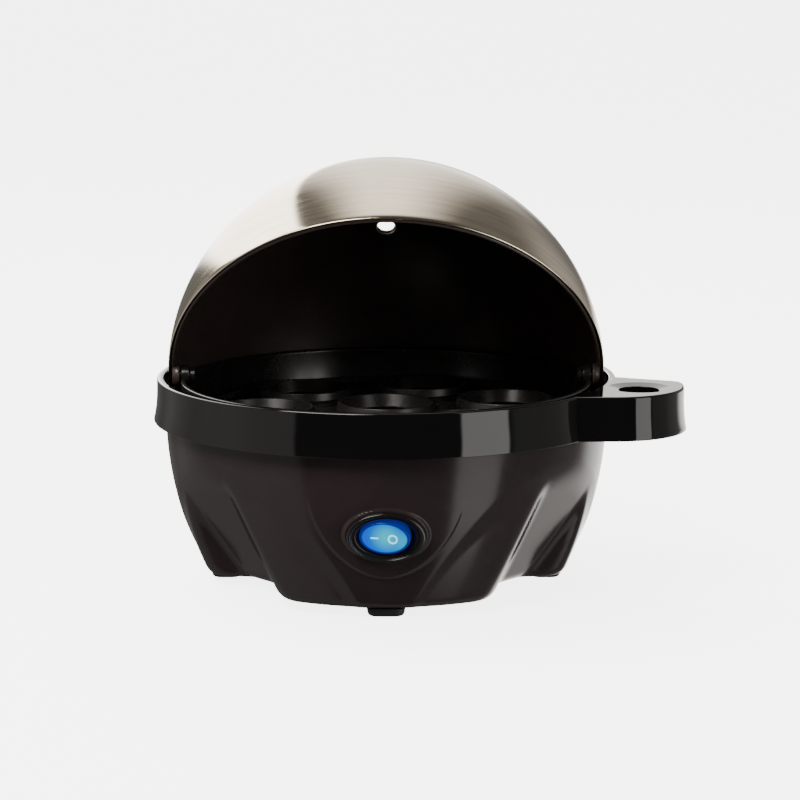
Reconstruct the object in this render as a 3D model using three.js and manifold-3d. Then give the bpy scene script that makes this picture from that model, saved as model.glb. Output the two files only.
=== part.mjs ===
// An electric egg cooker: a round black base with petal-shaped walls, a heated plate under a tray for seven
// eggs, and a domed steel lid that rolls back into the base about a left-right axis. Millimetres, +Z up.
// The lid stands open. The origin is under the middle of the whole object, on the surface that it stands on.
import * as THREE from "three";
import { mergeVertices } from "three/addons/utils/BufferGeometryUtils.js";
import Module from "manifold-3d";

const wasm = await Module();
wasm.setup();

// Driving dimensions
const GAP = 0.3; // between pieces that touch
const LID_R = 82; // outside of the steel dome
const LID_OPEN = 52; // degrees that the lid has rolled back
const AXIS_Z = 77; // height of the lid's axis, which runs left to right through the dome's centre
const STEEL = 0.8; // the dome's sheet
const LINER = 1.5; // the lid's plastic lining
const STEAM_HOLE_R = 3.4;
const HUB_R = 4.4; // the lining's round lugs on the lid's axis
const PIN_R = 1.9;

const RIM_TOP = 77.5;
const RIM_R = 86; // outside of the rim
const RIM_INNER = 83.6; // the lid rolls past inside this
const BAND_BOTTOM = 61.5;
const BAND_R = 87.5; // the band flares to this at its foot
const WALL = 1.6;

const FOOT_TOP = 3.2;
const BASE_BOTTOM = FOOT_TOP + GAP;
const BODY_TOP_R = 82.8; // the lower casing just under the band
const BODY_FOOT_R = 68.5; // and at its bottom, on a petal
const TONGUE_TOP = 69.5; // the lower casing's tongue, up inside the band
const FLUTE_FOOT_R = 52.3; // the bottom of the flutes between the petals
const FLUTE_SLOPE = 0.656;
const FLUTE_TURN = 50; // degrees from the front or back that a flute faces
// Half a petal's width at the foot, and what that gains per mm of height, measured "at" mm from the middle.
const FRONT_PETAL = { half: 40.5, lean: 0.467, at: 36 };
const SIDE_PETAL = { half: 18.7, lean: 0.331, at: 60 };
const FLANK_SLANT = 0.15; // a petal narrows outwards by this share
const FLANK_ROUND = { high: 3, foot: 8, fade: 8 }; // width of a petal's rounded edge, and the height it fades over
const CREASE_ROUND = 2; // where a flank meets a flute
const FLUTE_ROUND = 3.5; // where a flute dies away

const EAR = { front: -52.6, turnX: 82, turnY: -25.1, turnR: 27.5, backX: 104.1, backY: -20.6, backR: 5.5 };
const EAR_SLANT = 0.405; // radians that the ear's back edge slants
const WELL = { x: 92.5, y: -31, dishR: 11.6, holeR: 7.4, dishDepth: 1.8, depth: 13 };
const SHIFT_X = -(EAR.turnX + EAR.turnR + 1.1 - BAND_R) / 2; // centres the box, ear included

const BOWL_R = 77.2; // outside of the inner bowl
const BOWL_WALL = 1.8;
const BOWL_FLOOR = 48.2;
const BOWL_HOLE_R = 38;
const BOWL_RIM = 76;
const PILLAR = { x: 18, y: 41.5, r: 3.5 }; // between the base plate and the bowl
const PLATE_R = 47; // the heated plate's flange
const PLATE_DISH_R = 36.5;
const PLATE_BOTTOM = 43;
const STUD_Y = 17;
const ELEMENT_R = 27;
const TUBE_R = 3.2;

const TRAY_R = 68;
const TRAY_BOTTOM = 62;
const TRAY_LEG_R = 63; // the circle that its legs stand on
const SEAT_TOP = 67;
const SEAT_R = 16.5;
const SEAT_RING_R = 46.5; // six seats lie on this circle, one is at its centre
const SEAT_START = -17; // degrees from the front to the first seat

const SWITCH_Z = 33;
const SWITCH_OVAL = 0.675; // height of every oval of the switch, as a share of its width
const SWITCH_TILT = 8; // degrees that the rocker leans, pressed on its left side
const BEZEL_R = 14; // half the bezel's width
const ROCKER_R = 9.2;
const SWITCH_HOLE_R = 12.4;
const SWITCH_AXIS = -1.5; // the rocker's axis, behind the wall
const GLAND = { y: 76.3, z: 14, boreR: 3.8, neckR: 5, bossR: 8.4 };

const SIDES = 56; // facets round a casing
const QUARTER = 17; // facets in a quarter of the petal wall
const CROWDING = 6; // how far those are shifted towards the flutes, in degrees
const FINE = 40; // facets round a smaller ring
const DEG = Math.PI / 180;

const colours = {
  gloss_black: { color: 0x16161a, roughness: 0.12, metalness: 0 },
  casing_black: { color: 0x241f20, roughness: 0.28, metalness: 0 },
  liner_black: { color: 0x101014, roughness: 0.3, metalness: 0 },
  steel: { color: 0xb9b0a2, roughness: 0.35, metalness: 1 },
  plate_steel: { color: 0xa8a8a8, roughness: 0.3, metalness: 1 },
  rubber: { color: 0x141414, roughness: 0.8, metalness: 0 },
  silicone: { color: 0x9a3b2c, roughness: 0.7, metalness: 0 },
  lit_blue: { color: 0x18a4f5, roughness: 0.2, metalness: 0 },
  brass: { color: 0xc8a04a, roughness: 0.35, metalness: 1 },
  nylon: { color: 0xd8d4c8, roughness: 0.6, metalness: 0 },
};

// Solids: geometries go in and come out, and only joins and cuts are made by manifold-3d.
function solid(geometry) {
  const bare = geometry.clone().deleteAttribute("normal").deleteAttribute("uv");
  const merged = mergeVertices(bare, 1e-4);
  const vertProperties = merged.attributes.position.array;
  const triVerts = new Uint32Array(merged.index.array);
  return new wasm.Manifold(new wasm.Mesh({ numProp: 3, vertProperties, triVerts }));
}

function geometryOf(body) {
  const mesh = body.getMesh();
  const geometry = new THREE.BufferGeometry();
  geometry.setAttribute("position", new THREE.BufferAttribute(mesh.vertProperties, 3));
  geometry.setIndex(new THREE.BufferAttribute(mesh.triVerts, 1));
  return geometry;
}

const join = (first, ...rest) =>
  geometryOf(rest.reduce((whole, piece) => whole.add(solid(piece)), solid(first)));
const cut = (first, ...rest) =>
  geometryOf(rest.reduce((whole, piece) => whole.subtract(solid(piece)), solid(first)));

// A solid of revolution about Z, from points [radius, height] that run anticlockwise round the section.
function turned(points, sides = FINE) {
  const closed = points[0][0] > 0 || points.at(-1)[0] > 0;
  const profile = (closed ? [...points, points[0]] : points).map(([r, z]) => new THREE.Vector2(r, z));
  return new THREE.LatheGeometry(profile, sides).rotateX(Math.PI / 2);
}

// A round rod along Z between two heights.
function rod(radius, low, high, sides = 24, topRadius = radius) {
  const geometry = new THREE.CylinderGeometry(topRadius, radius, high - low, sides);
  return geometry.rotateX(Math.PI / 2).translate(0, 0, (low + high) / 2);
}

// A rectangular block between two corners.
function block([x0, y0, z0], [x1, y1, z1]) {
  const geometry = new THREE.BoxGeometry(x1 - x0, y1 - y0, z1 - z0);
  return geometry.translate((x0 + x1) / 2, (y0 + y1) / 2, (z0 + z1) / 2);
}

// A skin over a stack of outlines that have the same number of points and run anticlockwise seen from above.
// As a ring its last outline meets its first; otherwise flat caps close both ends.
function skin(outlines, ring = false) {
  const count = outlines[0].length;
  const positions = outlines.flat().flatMap((p) => [p.x, p.y, p.z]);
  const index = [];
  const steps = ring ? outlines.length : outlines.length - 1;
  for (let k = 0; k < steps; k++) {
    const low = k * count;
    const high = ((k + 1) % outlines.length) * count;
    for (let i = 0; i < count; i++) {
      const j = (i + 1) % count;
      index.push(low + i, low + j, high + j, low + i, high + j, high + i);
    }
  }
  if (!ring) {
    const last = (outlines.length - 1) * count;
    for (const [a, b, c] of THREE.ShapeUtils.triangulateShape(outlines[0], [])) {
      index.push(c, b, a);
    }
    for (const [a, b, c] of THREE.ShapeUtils.triangulateShape(outlines.at(-1), [])) {
      index.push(last + a, last + b, last + c);
    }
  }
  const geometry = new THREE.BufferGeometry();
  geometry.setAttribute("position", new THREE.Float32BufferAttribute(positions, 3));
  geometry.setIndex(index);
  return geometry;
}

// The outline at one height of a wall whose radius depends on the fold, its angle in degrees from the nearer of
// the front and the back. Its points crowd together where the flutes are.
function outline(radiusAt, z) {
  const quarter = Array.from({ length: QUARTER }, (_, i) => {
    const t = i / QUARTER;
    return 90 * t + CROWDING * Math.sin(2 * Math.PI * t);
  });
  const turn = quarter.flatMap((fold) => [fold, 180 - fold, 180 + fold, 360 - fold]);
  const phis = [...new Set([...turn.map((phi) => phi % 360), 90, 270])].toSorted((a, b) => a - b);
  return phis.map((phi) => {
    const r = radiusAt(90 - Math.abs(90 - Math.abs(180 - phi)));
    return new THREE.Vector3(r * Math.sin(phi * DEG), -r * Math.cos(phi * DEG), z);
  });
}

// The lower of two values, or the higher for a negative width, rounded off where they are within the width.
function blended(a, b, width) {
  const share = THREE.MathUtils.clamp(0.5 + (b - a) / (2 * width), 0, 1);
  return b + (a - b) * share - width * share * (1 - share);
}

// The lower casing's wall: four petals that flare upwards, with straight flanks that lean outwards, and between
// each two a flat flute that slopes and dies away under the band.
function petalRadius(z) {
  const drop = Math.max(0, (BAND_BOTTOM - z) / (BAND_BOTTOM - BASE_BOTTOM));
  return BODY_TOP_R - (BODY_TOP_R - BODY_FOOT_R) * drop ** 1.9;
}

function wallRadius(fold, z) {
  const rise = z - BASE_BOTTOM;
  const out = Math.cos(fold * DEG);
  const across = Math.sin(fold * DEG);
  const flank = (petal, along, aside) =>
    (petal.half + petal.lean * rise + FLANK_SLANT * petal.at) / (aside + FLANK_SLANT * along);
  const petal = petalRadius(z);
  const flute = (FLUTE_FOOT_R + FLUTE_SLOPE * rise) / Math.cos((fold - FLUTE_TURN) * DEG);
  const edge = FLANK_ROUND.high + (FLANK_ROUND.foot - FLANK_ROUND.high) * Math.exp(-rise / FLANK_ROUND.fade);
  const front = blended(petal, flank(FRONT_PETAL, out, across), edge);
  const side = blended(petal, flank(SIDE_PETAL, across, out), edge);
  return blended(petal, blended(flute, Math.max(front, side), -CREASE_ROUND), FLUTE_ROUND);
}

// The switch's frame, on the front wall: local +Z points straight out of it and local +Y runs up it.
function switchFrame() {
  const group = new THREE.Group();
  const lean = Math.atan(petalRadius(SWITCH_Z + 0.5) - petalRadius(SWITCH_Z - 0.5));
  group.position.set(0, -petalRadius(SWITCH_Z), SWITCH_Z);
  group.rotation.x = Math.PI / 2 + lean;
  return group;
}

// The cord gland's frame, on the face of its boss: local +Z points straight back.
function glandFrame() {
  const group = new THREE.Group();
  group.position.set(0, GLAND.y, GLAND.z);
  group.rotation.x = -Math.PI / 2;
  return group;
}

const placed = (geometry, frame) => {
  frame.updateMatrix();
  return geometry.applyMatrix4(frame.matrix);
};

// Upper casing: the rim, its flared band and the ear with its well
function earOutline(offset, z) {
  const points = [new THREE.Vector3(66, EAR.front - offset, z)];
  for (let i = 0; i <= 8; i++) {
    const a = -Math.PI / 2 + (i / 8) * (Math.PI / 2);
    const r = EAR.turnR + offset;
    points.push(new THREE.Vector3(EAR.turnX + r * Math.cos(a), EAR.turnY + r * Math.sin(a), z));
  }
  for (let i = 0; i <= 4; i++) {
    const a = (i / 4) * (Math.PI / 2 - EAR_SLANT);
    const r = EAR.backR + offset;
    points.push(new THREE.Vector3(EAR.backX + r * Math.cos(a), EAR.backY + r * Math.sin(a), z));
  }
  const end = points.at(-1);
  const reach = 34;
  const x = end.x - reach * Math.cos(EAR_SLANT);
  points.push(new THREE.Vector3(x, end.y + reach * Math.sin(EAR_SLANT), z));
  return points;
}

function upperCasing() {
  const flare = BAND_R - RIM_R;
  const lip = 1.4;
  const ring = turned(
    [
      [BAND_R, BAND_BOTTOM],
      [RIM_R + 0.1, RIM_TOP - 0.9],
      [RIM_R - 0.7, RIM_TOP],
      [RIM_INNER + 0.5, RIM_TOP],
      [RIM_INNER, RIM_TOP - 0.6],
      [RIM_INNER, BAND_BOTTOM + 3],
      [RIM_INNER + lip, BAND_BOTTOM + 3],
      [RIM_INNER + lip, RIM_TOP - 2.4],
      [RIM_R - WALL + 0.3, RIM_TOP - 2.4],
      [BAND_R - WALL, BAND_BOTTOM],
    ],
    SIDES,
  );
  const ear = skin([
    earOutline(flare - 0.4, BAND_BOTTOM),
    earOutline(0, RIM_TOP - 0.9),
    earOutline(-0.7, RIM_TOP),
  ]);
  const pocket = skin([
    earOutline(-WALL, BAND_BOTTOM - 1),
    earOutline(-WALL - 0.8, RIM_TOP - 2.2),
  ]);
  const shell = cut(
    cut(ear, rod(RIM_R + 0.2, BAND_BOTTOM - 1, RIM_TOP - 1, SIDES)),
    cut(pocket, rod(BAND_R + 1, BAND_BOTTOM - 2, RIM_TOP, SIDES)),
    rod(RIM_INNER + 1, RIM_TOP - 2, RIM_TOP + 1, SIDES),
  );
  const at = (geometry) => geometry.translate(WELL.x, WELL.y, 0);
  const cup = at(rod(WELL.holeR + 2, RIM_TOP - WELL.depth - 1.6, RIM_TOP - 1));
  const dish = at(rod(WELL.holeR, RIM_TOP - WELL.dishDepth, RIM_TOP + 0.01, 32, WELL.dishR));
  const hole = at(rod(WELL.holeR, RIM_TOP - WELL.depth, RIM_TOP - 1, 32));
  const backing = at(rod(WELL.dishR + 1.5, RIM_TOP - WELL.dishDepth - 1.6, RIM_TOP - 1, 32));
  return cut(join(ring, shell, cup, backing), dish, hole);
}

// Lower casing: the petal wall, with the tongue that stands up inside the band
function lowerCasing() {
  const heights = [7, 13, 20, 28, 37, 47, BAND_BOTTOM];
  const inset = (z, by) => outline((fold) => wallRadius(fold, z) - by, z);
  const round = (r, z) => outline(() => r, z);
  const wall = skin(
    [
      inset(BASE_BOTTOM, 2.5),
      inset(BASE_BOTTOM + 1.3, 0.7),
      ...heights.map((z) => inset(z, 0)),
      round(RIM_INNER - GAP, BAND_BOTTOM + 1),
      round(RIM_INNER - GAP, TONGUE_TOP),
      round(LID_R + 0.3, TONGUE_TOP),
      round(BODY_TOP_R - WALL + 0.3, BAND_BOTTOM + 1),
      ...heights.toReversed().map((z) => inset(z, WALL)),
      inset(BASE_BOTTOM + 1.3, WALL + 1.2),
      inset(BASE_BOTTOM, WALL + 2.9),
    ],
    true,
  );
  const oval = (r, low, high) => placed(rod(r, low, high, 40).scale(1, SWITCH_OVAL, 1), switchFrame());
  const atGland = (radius, low, high) => placed(rod(radius, low, high), glandFrame());
  return cut(
    join(wall, oval(BEZEL_R + 1.2, -2.4, 0.9), atGland(GLAND.bossR, -7.3, 0)),
    oval(SWITCH_HOLE_R, -6, 3),
    atGland(GLAND.neckR + GAP, -12, 4),
  );
}

// Base plate, closing the casing from below, with a counterbored hole for each screw
const corners = [-1, 1].flatMap((sx) => [-1, 1].map((sy) => [sx * PILLAR.x, sy * PILLAR.y]));

function basePlate() {
  const edge = (z) => outline((fold) => wallRadius(fold, BASE_BOTTOM) - 5.2, z);
  const holes = corners.flatMap(([x, y]) => [
    rod(1.8, BASE_BOTTOM - 1, BASE_BOTTOM + 4, 16).translate(x, y, 0),
    rod(3.7, BASE_BOTTOM - 1, BASE_BOTTOM + 1.3, 16).translate(x, y, 0),
  ]);
  return cut(skin([edge(BASE_BOTTOM), edge(BASE_BOTTOM + 2.2)]), ...holes);
}

function screw() {
  const head = BASE_BOTTOM + 1;
  return turned(
    [
      [0, BASE_BOTTOM],
      [3.2, BASE_BOTTOM],
      [3.2, head],
      [1.4, head],
      [1.4, 15],
      [0, 15.6],
    ],
    12,
  );
}

// A rubber foot, wider along the rim than across it, with rounded lower edges
function foot() {
  const oblong = (x, y, z) => {
    const points = [];
    for (let i = 0; i < 24; i++) {
      const a = (i / 24) * 2 * Math.PI;
      const side = (v) => Math.sign(v) * Math.abs(v) ** 0.45;
      points.push(new THREE.Vector3(x * side(Math.cos(a)), y * side(Math.sin(a)), z));
    }
    return points;
  };
  return skin([oblong(6, 5, 0), oblong(6.8, 5.8, 0.8), oblong(7, 6, FOOT_TOP)]);
}

// Inner bowl: a shallow bowl inside the lid's sweep, with a bearing boss at each end of the lid's axis
function sphereArc(radius, fromZ, toZ, steps) {
  const angle = (z) => Math.asin((z - AXIS_Z) / radius);
  return Array.from({ length: steps + 1 }, (_, i) => {
    const a = angle(fromZ) + (i / steps) * (angle(toZ) - angle(fromZ));
    return [radius * Math.cos(a), AXIS_Z + radius * Math.sin(a)];
  });
}

// A rod along X, on the lid's axis, on the left (-1) or the right (1).
function axial(side, radius, near, far, sides = 20) {
  return rod(radius, near, far, sides)
    .rotateY((side * Math.PI) / 2)
    .translate(0, 0, AXIS_Z);
}

function innerBowl() {
  const underside = BOWL_FLOOR - BOWL_WALL;
  const shell = turned([
    [BOWL_HOLE_R, underside],
    ...sphereArc(BOWL_R, underside, BOWL_RIM, 4),
    ...sphereArc(BOWL_R - BOWL_WALL, BOWL_RIM, BOWL_FLOOR, 4),
    [BOWL_HOLE_R, BOWL_FLOOR],
  ]);
  const bosses = [-1, 1].map((side) => axial(side, HUB_R - 0.4, BOWL_R - 3.3, BOWL_R - GAP));
  const bores = [-1, 1].map((side) => axial(side, PIN_R + GAP, BOWL_R - 6, BOWL_R + 2));
  return cut(join(shell, ...bosses), ...bores);
}

function pillar() {
  const top = BOWL_FLOOR - BOWL_WALL - GAP;
  return cut(rod(PILLAR.r, 6, top, 12), rod(1.7, 5, 17, 12));
}

function pin(side) {
  return join(
    axial(side, PIN_R, BOWL_R - 4, BOWL_R + 3.2),
    axial(side, 3.2, BOWL_R - 5.2, BOWL_R - 3.3 - GAP),
  );
}

// Lid: a steel hemisphere over a plastic lining, about the lid's own pole, local +Z
function hemisphere(outer, inner, hole) {
  const steps = 7;
  const top = (r) => Math.asin(hole / r);
  const arc = (r, from, to) =>
    Array.from({ length: steps + 1 }, (_, i) => {
      const a = from + (i / steps) * (to - from);
      return [r * Math.sin(a), r * Math.cos(a)];
    });
  return turned([...arc(outer, Math.PI / 2, top(outer)), ...arc(inner, top(inner), Math.PI / 2)]);
}

function lidLiner() {
  const outer = LID_R - STEEL - GAP;
  const inner = outer - LINER;
  const lug = (side, radius, near, far) => axial(side, radius, near, far, 20).translate(0, 0, -AXIS_Z);
  const lugs = [-1, 1].map((side) => lug(side, HUB_R, BOWL_R + 0.4, outer - 0.6));
  const bores = [-1, 1].map((side) => lug(side, PIN_R + GAP, BOWL_R, LID_R));
  return cut(join(hemisphere(outer, inner, STEAM_HOLE_R + GAP), ...lugs), ...bores);
}

// Heater: the plate, its two studs, the seal under its flange, and what hangs below it
function heatingPlate() {
  const flange = BOWL_FLOOR + 2 + GAP;
  return turned([
    [0, PLATE_BOTTOM],
    [PLATE_DISH_R - 1.5, PLATE_BOTTOM],
    [PLATE_DISH_R, PLATE_BOTTOM + 1.5],
    [PLATE_DISH_R, flange - 0.2],
    [PLATE_R, flange],
    [PLATE_R, flange + 1],
    [PLATE_DISH_R - 1, flange + 1],
    [PLATE_DISH_R - 2, PLATE_BOTTOM + 1.2],
    [0, PLATE_BOTTOM + 1],
  ]);
}

function plateSeal() {
  const low = BOWL_FLOOR + GAP;
  return turned([
    [BOWL_HOLE_R + 1, low],
    [PLATE_R - 1, low],
    [PLATE_R - 1, low + 1.4],
    [BOWL_HOLE_R + 1, low + 1.4],
  ]);
}

function heatingElement() {
  const z = PLATE_BOTTOM - GAP - TUBE_R;
  const bend = Array.from({ length: 25 }, (_, i) => {
    const a = (30 + (i / 24) * 300) * DEG;
    return new THREE.Vector3(ELEMENT_R * Math.cos(a), ELEMENT_R * Math.sin(a), z);
  });
  const section = new THREE.Shape();
  section.absarc(0, 0, TUBE_R, 0, 2 * Math.PI);
  return new THREE.ExtrudeGeometry(section, {
    curveSegments: 5,
    steps: 22,
    extrudePath: new THREE.CatmullRomCurve3(bend),
    bevelEnabled: false,
  });
}

function plateBracket() {
  const holes = [-STUD_Y, STUD_Y].map((y) => rod(2.4, 30, 38, 12).translate(0, y, 0));
  return cut(block([-9, -34, 33], [9, 34, 34.5]), ...holes);
}

function nut() {
  return cut(rod(3.8, 30.4, 32.7, 6), rod(2.3, 29, 34, 12));
}

// Egg tray: a disc with seven collared seats, which stands on four short legs
function seatPlaces() {
  const ring = Array.from({ length: 6 }, (_, i) => {
    const a = (SEAT_START + 60 * i) * DEG;
    return [SEAT_RING_R * Math.sin(a), -SEAT_RING_R * Math.cos(a)];
  });
  return [[0, 0], ...ring];
}

function eggTray() {
  const disc = turned([
    [0, TRAY_BOTTOM],
    [TRAY_R, TRAY_BOTTOM],
    [TRAY_R, TRAY_BOTTOM + 3.5],
    [TRAY_R - 1.5, TRAY_BOTTOM + 3.5],
    [TRAY_R - 2, TRAY_BOTTOM + 1.8],
    [0, TRAY_BOTTOM + 1.8],
  ]);
  const at = (shape) => seatPlaces().map(([x, y]) => shape().translate(x, y, 0));
  const collars = at(() => rod(SEAT_R + 2.4, TRAY_BOTTOM + 0.5, SEAT_TOP, 20, SEAT_R + 1.6));
  const holes = at(() => rod(SEAT_R - 1.5, TRAY_BOTTOM - 1, SEAT_TOP + 0.01, 20, SEAT_R + 0.8));
  return cut(join(disc, ...collars), ...holes);
}

// Switch: every oval is a round form flattened in height; local +Z points out of the wall
const flattened = (geometry) => geometry.scale(1, SWITCH_OVAL, 1);

function switchBezel() {
  const bore = ROCKER_R + 0.7;
  return flattened(
    turned(
      [
        [bore, -4],
        [SWITCH_HOLE_R - 0.4, -4],
        [SWITCH_HOLE_R - 0.4, 1.2],
        [BEZEL_R, 1.2],
        [BEZEL_R, 2],
        [BEZEL_R - 1.2, 2.9],
        [BEZEL_R - 2.4, 2.9],
        [bore, 1.4],
      ],
      40,
    ),
  );
}

function switchHousing() {
  const pocket = flattened(rod(ROCKER_R + 0.7, -12, 0, 32));
  return cut(block([-12.5, -8.5, -20], [12.5, 8.5, -4.3]), pocket);
}

function switchRocker() {
  const body = flattened(
    turned(
      [
        [0, -5.5],
        [ROCKER_R - 1.2, -5.5],
        [ROCKER_R, 0],
        [ROCKER_R, 2],
        [ROCKER_R - 0.6, 2.6],
        [0, 2.6],
      ],
      32,
    ),
  );
  return body.translate(0, 0, -SWITCH_AXIS);
}

// Cord gland: a flanged bush through a boss on the back wall
function cordGland() {
  return turned(
    [
      [GLAND.boreR, -9.4],
      [6.6, -9.4],
      [6.6, -7.6],
      [GLAND.neckR, -7.6],
      [GLAND.neckR, GAP],
      [7.4, GAP],
      [7, 2],
      [5.2, 5.4],
      [GLAND.boreR, 5.4],
    ],
    24,
  );
}

// Assembly
function piece(parent, name, look, geometry) {
  const mesh = new THREE.Mesh(geometry, new THREE.MeshStandardMaterial(colours[look]));
  mesh.name = name;
  parent.add(mesh);
  return mesh;
}

const cooker = new THREE.Group();
cooker.position.x = SHIFT_X;

piece(cooker, "upper_casing", "gloss_black", upperCasing());
piece(cooker, "lower_casing", "casing_black", lowerCasing());
piece(cooker, "base_plate", "casing_black", basePlate());
corners.forEach(([x, y], i) => {
  piece(cooker, `base_screw_${i + 1}`, "plate_steel", screw()).position.set(x, y, 0);
});
["front", "right", "rear", "left"].forEach((side, i) => {
  const turn = new THREE.Group();
  turn.rotation.z = (i * Math.PI) / 2;
  piece(turn, `foot_${side}`, "rubber", foot()).position.y = -60.5;
  cooker.add(turn);
});

piece(cooker, "inner_bowl", "liner_black", innerBowl());
corners.forEach(([x, y], i) => {
  piece(cooker, `bowl_pillar_${i + 1}`, "liner_black", pillar()).position.set(x, y, 0);
});
piece(cooker, "plate_seal", "silicone", plateSeal());
piece(cooker, "heating_plate", "plate_steel", heatingPlate());
piece(cooker, "heating_element", "plate_steel", heatingElement());
piece(cooker, "plate_bracket", "plate_steel", plateBracket());
[-1, 1].forEach((side, i) => {
  const stud = rod(2, 30, PLATE_BOTTOM - GAP, 12);
  piece(cooker, `plate_stud_${i + 1}`, "plate_steel", stud).position.y = side * STUD_Y;
  piece(cooker, `bracket_nut_${i + 1}`, "brass", nut()).position.y = side * STUD_Y;
});
piece(cooker, "thermostat", "nylon", rod(8, 34.8, PLATE_BOTTOM - GAP));
const fuse = piece(cooker, "thermal_fuse", "nylon", rod(2.2, -7, 7, 12));
fuse.position.set(15, 0, 37.2);
fuse.rotation.x = Math.PI / 2;
piece(cooker, "terminal_block", "nylon", block([-9, 14, 6], [9, 26, 16]));
piece(cooker, "egg_tray", "liner_black", eggTray());
[45, 135, 225, 315].forEach((a, i) => {
  const leg = rod(2.2, BOWL_FLOOR + GAP, TRAY_BOTTOM - GAP, 10);
  const place = piece(cooker, `tray_leg_${i + 1}`, "liner_black", leg).position;
  place.set(TRAY_LEG_R * Math.sin(a * DEG), -TRAY_LEG_R * Math.cos(a * DEG), 0);
});

const lid = new THREE.Group();
lid.position.z = AXIS_Z;
lid.rotation.x = -LID_OPEN * DEG;
const liner = LID_R - STEEL;
piece(lid, "lid_dome", "steel", hemisphere(LID_R, liner, STEAM_HOLE_R));
piece(lid, "lid_liner", "liner_black", lidLiner());
cooker.add(lid);
piece(cooker, "lid_pin_left", "plate_steel", pin(-1));
piece(cooker, "lid_pin_right", "plate_steel", pin(1));

const switchPlace = switchFrame();
piece(switchPlace, "switch_bezel", "gloss_black", switchBezel());
piece(switchPlace, "switch_housing", "casing_black", switchHousing());
piece(switchPlace, "switch_lamp", "lit_blue", rod(1.5, -11.5, -7.6, 12));
[-7, 0, 7].forEach((x, i) => {
  const tab = block([x - 2.4, -0.4, -27], [x + 2.4, 0.4, -20.3]);
  piece(switchPlace, `switch_terminal_${i + 1}`, "brass", tab);
});
const rocker = piece(switchPlace, "switch_rocker", "lit_blue", switchRocker());
rocker.position.z = SWITCH_AXIS;
rocker.rotation.y = -SWITCH_TILT * DEG;
cooker.add(switchPlace);

const glandPlace = glandFrame();
piece(glandPlace, "cord_gland", "rubber", cordGland());
cooker.add(glandPlace);

const model = new THREE.Group();
model.add(cooker);

export default model;
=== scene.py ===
import bmesh
import bpy
import numpy as np
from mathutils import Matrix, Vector
from mathutils.geometry import delaunay_2d_cdt


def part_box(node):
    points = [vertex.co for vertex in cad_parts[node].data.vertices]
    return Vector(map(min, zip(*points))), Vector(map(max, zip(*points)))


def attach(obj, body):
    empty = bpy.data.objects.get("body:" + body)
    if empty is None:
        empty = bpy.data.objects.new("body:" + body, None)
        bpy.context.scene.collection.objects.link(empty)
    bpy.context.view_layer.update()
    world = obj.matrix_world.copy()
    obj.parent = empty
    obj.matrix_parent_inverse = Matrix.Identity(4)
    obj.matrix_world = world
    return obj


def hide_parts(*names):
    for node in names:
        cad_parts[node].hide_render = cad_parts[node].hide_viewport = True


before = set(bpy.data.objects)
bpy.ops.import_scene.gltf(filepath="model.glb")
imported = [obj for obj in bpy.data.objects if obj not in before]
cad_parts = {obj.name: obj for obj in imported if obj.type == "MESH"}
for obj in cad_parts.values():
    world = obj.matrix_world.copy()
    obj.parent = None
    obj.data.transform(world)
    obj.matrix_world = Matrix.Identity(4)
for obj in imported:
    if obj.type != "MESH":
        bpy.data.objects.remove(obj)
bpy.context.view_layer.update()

# Lengths are millimetres about the cooker's own upright axis until a mesh is made. The front is -Y.
MM = 0.001
DEG = np.pi / 180
AXIS_X = (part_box("inner_bowl")[0].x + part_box("inner_bowl")[1].x) / 2

LID_R = (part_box("lid_dome")[1].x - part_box("lid_dome")[0].x) / 2 / MM
AXIS_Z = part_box("lid_dome")[1].z / MM - LID_R
LID_OPEN = 52 * DEG
STEEL = 0.8
LINER_R = LID_R - 1.1
LINER = 1.5
STEAM_HOLE_R = 3.4
HUB_R = 4.4
PIN_BORE_R = 2.2

RIM_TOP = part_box("upper_casing")[1].z / MM
RIM_R = 86.1
RIM_INNER = 83.6
BAND_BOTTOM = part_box("upper_casing")[0].z / MM
BAND_FLARE = 1.4
WALL = 1.6

EAR_FRONT = -52.6
EAR_TURN = np.array([82.0, -25.1])
EAR_TURN_R = 27.5
EAR_BACK = np.array([104.1, -20.6])
EAR_BACK_R = 5.5
EAR_SLANT = 0.405
EAR_FLARE = 1.1
EAR_ROOT_R = RIM_R - 1.2
EAR_ROOF = 2.2
EAR_EDGE = 0.9
WELL = np.array([92.5, -31.0])
WELL_DISH_R = 11.6
WELL_HOLE_R = 7.4
WELL_DISH_DEPTH = 0.9
WELL_DEPTH = 13

BASE_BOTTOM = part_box("lower_casing")[0].z / MM
TONGUE_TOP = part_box("lower_casing")[1].z / MM
TONGUE_R = 83.3
BODY_TOP_R = 82.8
BODY_FOOT_R = 68.5
BODY_POWER = 1.9
FLUTE_FOOT_R = 52.3
FLUTE_SLOPE = 0.656
FLUTE_TURN = 50 * DEG
FLUTE_ROUND = 3.5
FRONT_PETAL = {"half": 40.5, "lean": 0.467, "at": 36}
SIDE_PETAL = {"half": 18.7, "lean": 0.331, "at": 60}
FLANK_SLANT = 0.15
FLANK_ROUND = {"high": 3, "foot": 8, "fade": 8}
CREASE_ROUND = 2
SOLE_EDGE = {"high": 3.5, "inset": 2.5}
PAD = {"half_width": 28.5, "top": 50, "drop": 34, "power": 1.8, "proud": 1.1, "edge": 0.8}
PAD_SWELL = {"top": 46, "drop": 28, "power": 1.2}
COVER_INSET = 5.2
COVER = 2.2
FOOT_RING_R = 60.5
SCREW_PLACES = [(sx * 18, sy * 41.5) for sx in (-1, 1) for sy in (-1, 1)]
GLAND_Y = 76.3
GLAND_Z = 14

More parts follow.
